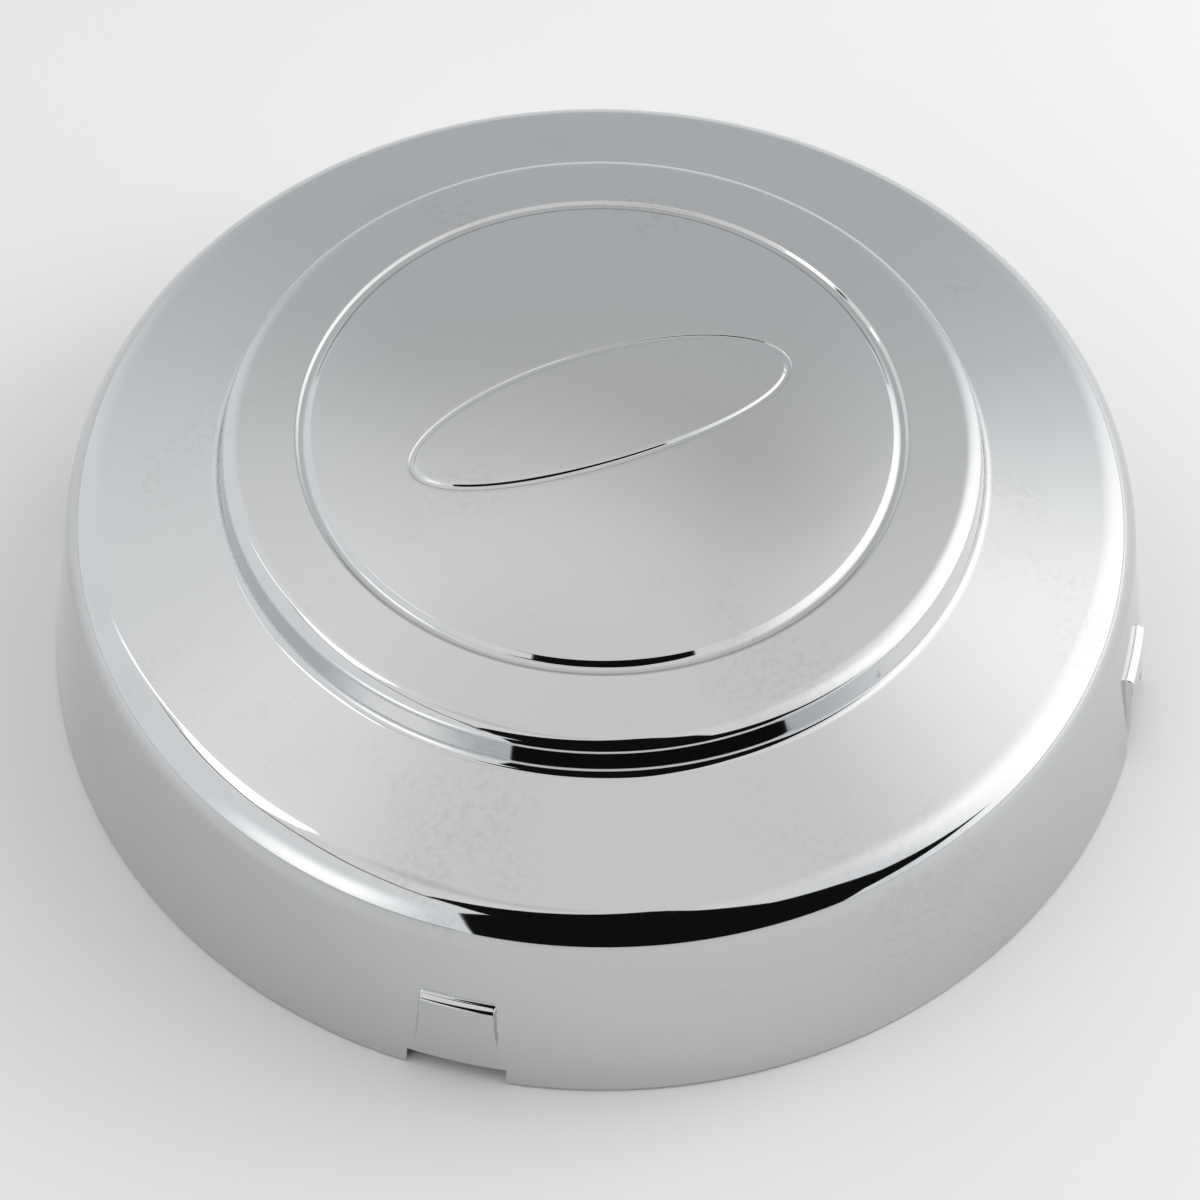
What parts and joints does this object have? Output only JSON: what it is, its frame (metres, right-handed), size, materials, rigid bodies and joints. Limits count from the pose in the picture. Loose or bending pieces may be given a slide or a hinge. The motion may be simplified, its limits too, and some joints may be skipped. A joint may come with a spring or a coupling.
{
  "type": "wheel center cap",
  "caption": "Closed dished center cap for a wheel, with a stepped domed top, a plain oval field, a drafted skirt and clip pads over rim notches.",
  "frame": {"origin": "centre of the rim plane, where the rim's lower edge seats on the wheel", "axes": "+Z along the cap's axis, out of the wheel towards the crown; +X along the long axis of the oval field; +Y across it"},
  "size_m": [0.216, 0.216, 0.0633],
  "materials": {
    "chrome_plating": "bright chrome plating on moulded ABS"
  },
  "bodies": {
    "root": {"cap": "chrome_plating"}
  },
  "joints": []
}
